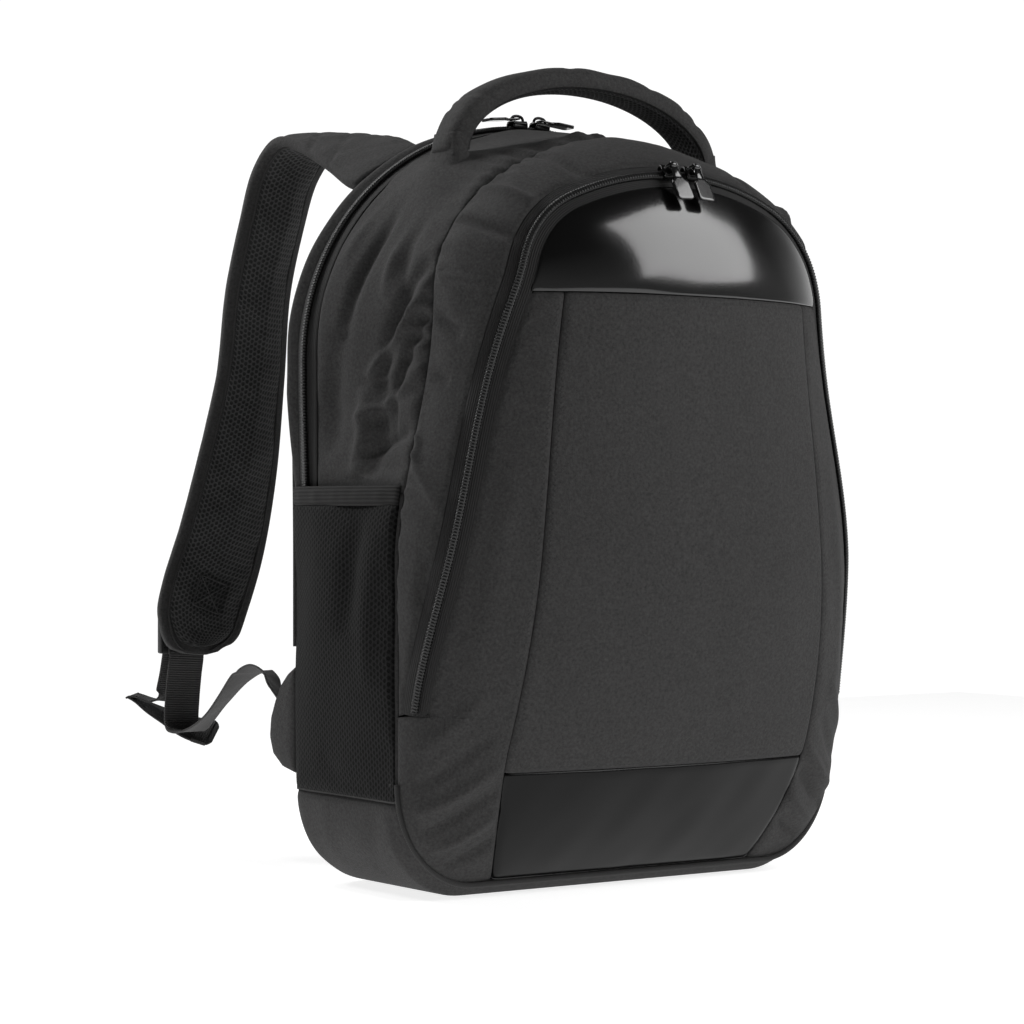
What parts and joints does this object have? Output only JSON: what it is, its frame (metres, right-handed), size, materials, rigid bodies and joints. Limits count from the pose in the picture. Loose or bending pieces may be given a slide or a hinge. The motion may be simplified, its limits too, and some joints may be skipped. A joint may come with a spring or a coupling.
{
  "type": "school backpack",
  "caption": "School backpack with two zipped compartments, mesh side pockets, carry handle and padded shoulder straps.",
  "frame": {"origin": "centre of the base's flat underside", "axes": "-Z down through the base, +X to the right as the front is faced, -Y out of the front"},
  "size_m": [0.345, 0.3999, 0.4928],
  "materials": {
    "fabric": "charcoal woven polyester",
    "gloss_fabric": "glossy coated fabric",
    "webbing": "ribbed tape and webbing",
    "mesh": "spacer mesh",
    "elastic": "ribbed elastic",
    "lining": "plain lining",
    "foam": "cloth over a foam sheet",
    "board": "foam and board",
    "moulded_plastic": "moulded",
    "dark_metal": "black enamelled",
    "gloss_tab": "glossy"
  },
  "bodies": {
    "root": {"main_gusset": "fabric", "rear_gusset": "fabric", "side_panel_left": "fabric", "side_panel_right": "fabric", "base_panel": "fabric", "base_board": "board", "base_piping": "fabric", "back_board": "foam", "back_binding": "webbing", "back_pad_left": "mesh", "back_pad_right": "mesh", "lumbar_pad": "mesh", "main_zip_front_tape": "webbing", "main_zip_rear_tape": "webbing", "main_zip_coil": "moulded_plastic", "divider_wall": "lining", "front_gusset": "fabric", "front_zip_outer_tape": "webbing", "front_zip_inner_tape": "webbing", "front_zip_coil": "moulded_plastic", "front_panel_centre": "fabric", "front_panel_left": "fabric", "front_panel_right": "fabric", "upper_gloss_band": "gloss_fabric", "lower_gloss_band": "gloss_fabric", "side_pocket_left": "mesh", "side_pocket_right": "mesh", "pocket_elastic_left": "elastic", "pocket_elastic_right": "elastic", "laptop_sleeve": "lining", "sleeve_strap": "webbing", "organiser_panel": "lining", "organiser_pocket": "lining", "handle_foot_left": "fabric", "handle_foot_right": "fabric", "adjuster_webbing_left": "webbing", "adjuster_webbing_right": "webbing", "strap_wing_left": "fabric", "strap_wing_right": "fabric"},
    "handle": {"handle_cover": "fabric", "handle_mesh": "mesh"},
    "shoulder_strap_left": {"strap_pad_left": "fabric", "strap_mesh_left": "mesh", "lock_keeper_left": "webbing"},
    "shoulder_strap_right": {"strap_pad_right": "fabric", "strap_mesh_right": "mesh", "lock_keeper_right": "webbing"},
    "adjuster_left": {"ladder_lock_left": "moulded_plastic", "webbing_tail_left": "webbing"},
    "adjuster_right": {"ladder_lock_right": "moulded_plastic", "webbing_tail_right": "webbing"},
    "front_slider_left": {"front_slider_left": "dark_metal"},
    "front_slider_right": {"front_slider_right": "dark_metal"},
    "main_slider_left": {"main_slider_left": "dark_metal"},
    "main_slider_right": {"main_slider_right": "dark_metal"},
    "front_puller_left": {"front_puller_left": "gloss_tab"},
    "front_puller_right": {"front_puller_right": "gloss_tab"},
    "main_puller_left": {"main_puller_left": "gloss_tab"},
    "main_puller_right": {"main_puller_right": "gloss_tab"}
  },
  "joints": [
    {"name": "handle_tilt", "type": "hinge", "parent": "root", "child": "handle", "pos_m": [0, 0.027, 0.449], "axis": [1, 0, 0], "range_deg": [-50, 50]},
    {"name": "strap_swing_left", "type": "hinge", "parent": "root", "child": "shoulder_strap_left", "pos_m": [-0.092, 0.101, 0.438], "axis": [1, 0, 0], "range_deg": [-20, 9], "deforming": ["adjuster_webbing_left"]},
    {"name": "adjuster_tilt_left", "type": "hinge", "parent": "shoulder_strap_left", "child": "adjuster_left", "pos_m": [-0.1425, 0.2672, 0.1575], "axis": [1, 0, 0], "range_deg": [-8, 15], "deforming": ["adjuster_webbing_left"]},
    {"name": "front_slider_run_left", "type": "hinge", "parent": "root", "child": "front_slider_left", "pos_m": [0, -0.03427, 0.24111], "axis": [0, 0.9799, 0.1994], "range_deg": [-21, 0]},
    {"name": "main_slider_run_left", "type": "hinge", "parent": "root", "child": "main_slider_left", "pos_m": [0, 0.08, 0.283], "axis": [0, 1, 0], "range_deg": [-26, 0]},
    {"name": "front_puller_lift_left", "type": "hinge", "parent": "front_slider_left", "child": "front_puller_left", "pos_m": [-0.00848, -0.0767, 0.42315], "axis": [-0.999, 0.009, -0.0445], "range_deg": [0, 150]},
    {"name": "main_puller_lift_left", "type": "hinge", "parent": "main_slider_left", "child": "main_puller_left", "pos_m": [-0.00871, 0.08, 0.4677], "axis": [0, 1, 0], "range_deg": [0, 100]},
    {"name": "strap_swing_right", "type": "hinge", "parent": "root", "child": "shoulder_strap_right", "pos_m": [0.092, 0.101, 0.438], "axis": [1, 0, 0], "range_deg": [-20, 9], "deforming": ["adjuster_webbing_right"]},
    {"name": "adjuster_tilt_right", "type": "hinge", "parent": "shoulder_strap_right", "child": "adjuster_right", "pos_m": [0.1425, 0.2672, 0.1575], "axis": [1, 0, 0], "range_deg": [-8, 15], "deforming": ["adjuster_webbing_right"]},
    {"name": "front_slider_run_right", "type": "hinge", "parent": "root", "child": "front_slider_right", "pos_m": [0, -0.03427, 0.24111], "axis": [0, 0.9799, 0.1994], "range_deg": [0, 21]},
    {"name": "main_slider_run_right", "type": "hinge", "parent": "root", "child": "main_slider_right", "pos_m": [0, 0.08, 0.283], "axis": [0, 1, 0], "range_deg": [0, 26]},
    {"name": "front_puller_lift_right", "type": "hinge", "parent": "front_slider_right", "child": "front_puller_right", "pos_m": [0.00848, -0.0767, 0.42315], "axis": [-0.999, -0.009, 0.0445], "range_deg": [0, 150]},
    {"name": "main_puller_lift_right", "type": "hinge", "parent": "main_slider_right", "child": "main_puller_right", "pos_m": [0.00871, 0.08, 0.4677], "axis": [0, -1, 0], "range_deg": [0, 100]}
  ]
}
